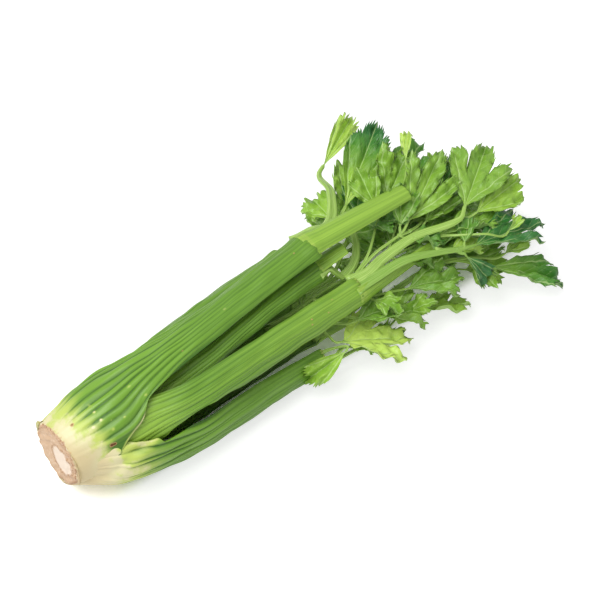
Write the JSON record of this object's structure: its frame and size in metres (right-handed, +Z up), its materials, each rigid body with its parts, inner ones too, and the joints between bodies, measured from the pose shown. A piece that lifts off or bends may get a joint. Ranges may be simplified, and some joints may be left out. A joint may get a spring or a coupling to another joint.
{
  "type": "head of celery",
  "caption": "Head of celery lying on its side: a cut crown, nested ribbed leaf stalks, trimmed tops and lobed leaves on thin stems.",
  "frame": {"origin": "middle of the head's outline, on the surface that it lies on", "axes": "+Z up, +X along the head from its cut end to its leaf tips, +Y across it, towards the side that the tall back leaves lean to"},
  "size_m": [0.4308, 0.2108, 0.0986],
  "materials": {
    "crown": "matt, rough cut root end",
    "stalk": "satin, ribbed, wet green stalk",
    "leaf": "satin leaf, paler underneath"
  },
  "bodies": {
    "root": {"crown": "crown", "outer_stalk_1": "stalk", "outer_stalk_2": "stalk", "outer_stalk_3": "stalk", "second_stalk_1": "stalk", "second_stalk_2": "stalk", "second_stalk_3": "stalk", "inner_stalk_1": "stalk", "inner_stalk_2": "stalk", "inner_stalk_3": "stalk", "heart_stalk_1": "stalk", "heart_stalk_2": "stalk", "outer_stalk_1_top": "stalk", "second_stalk_1_top": "stalk", "inner_stalk_1_top": "stalk", "leaf_01": "leaf", "leaf_02": "leaf", "leaf_03": "leaf", "leaf_04": "leaf", "leaf_05": "leaf", "leaf_06": "leaf", "leaf_07": "leaf", "leaf_08": "leaf", "leaf_09": "leaf", "leaf_10": "leaf", "leaf_11": "leaf", "leaf_12": "leaf", "leaf_13": "leaf", "leaf_14": "leaf", "leaf_15": "leaf", "leaf_16": "leaf", "leaf_17": "leaf", "leaf_18": "leaf", "leaf_19": "leaf", "leaf_20": "leaf", "leaf_21": "leaf", "leaf_22": "leaf", "leaf_23": "leaf", "leaf_25": "leaf", "leaf_26": "leaf", "leaf_27": "leaf", "leaf_24": "leaf", "leaf_28": "leaf", "leaf_29": "leaf", "leaf_30": "leaf", "leaf_31": "leaf", "leaf_32": "leaf", "leaf_33": "leaf", "leaf_34": "leaf", "leaf_35": "leaf", "leaf_36": "leaf", "leaf_37": "leaf", "leaf_38": "leaf", "leaf_39": "leaf"}
  },
  "joints": []
}
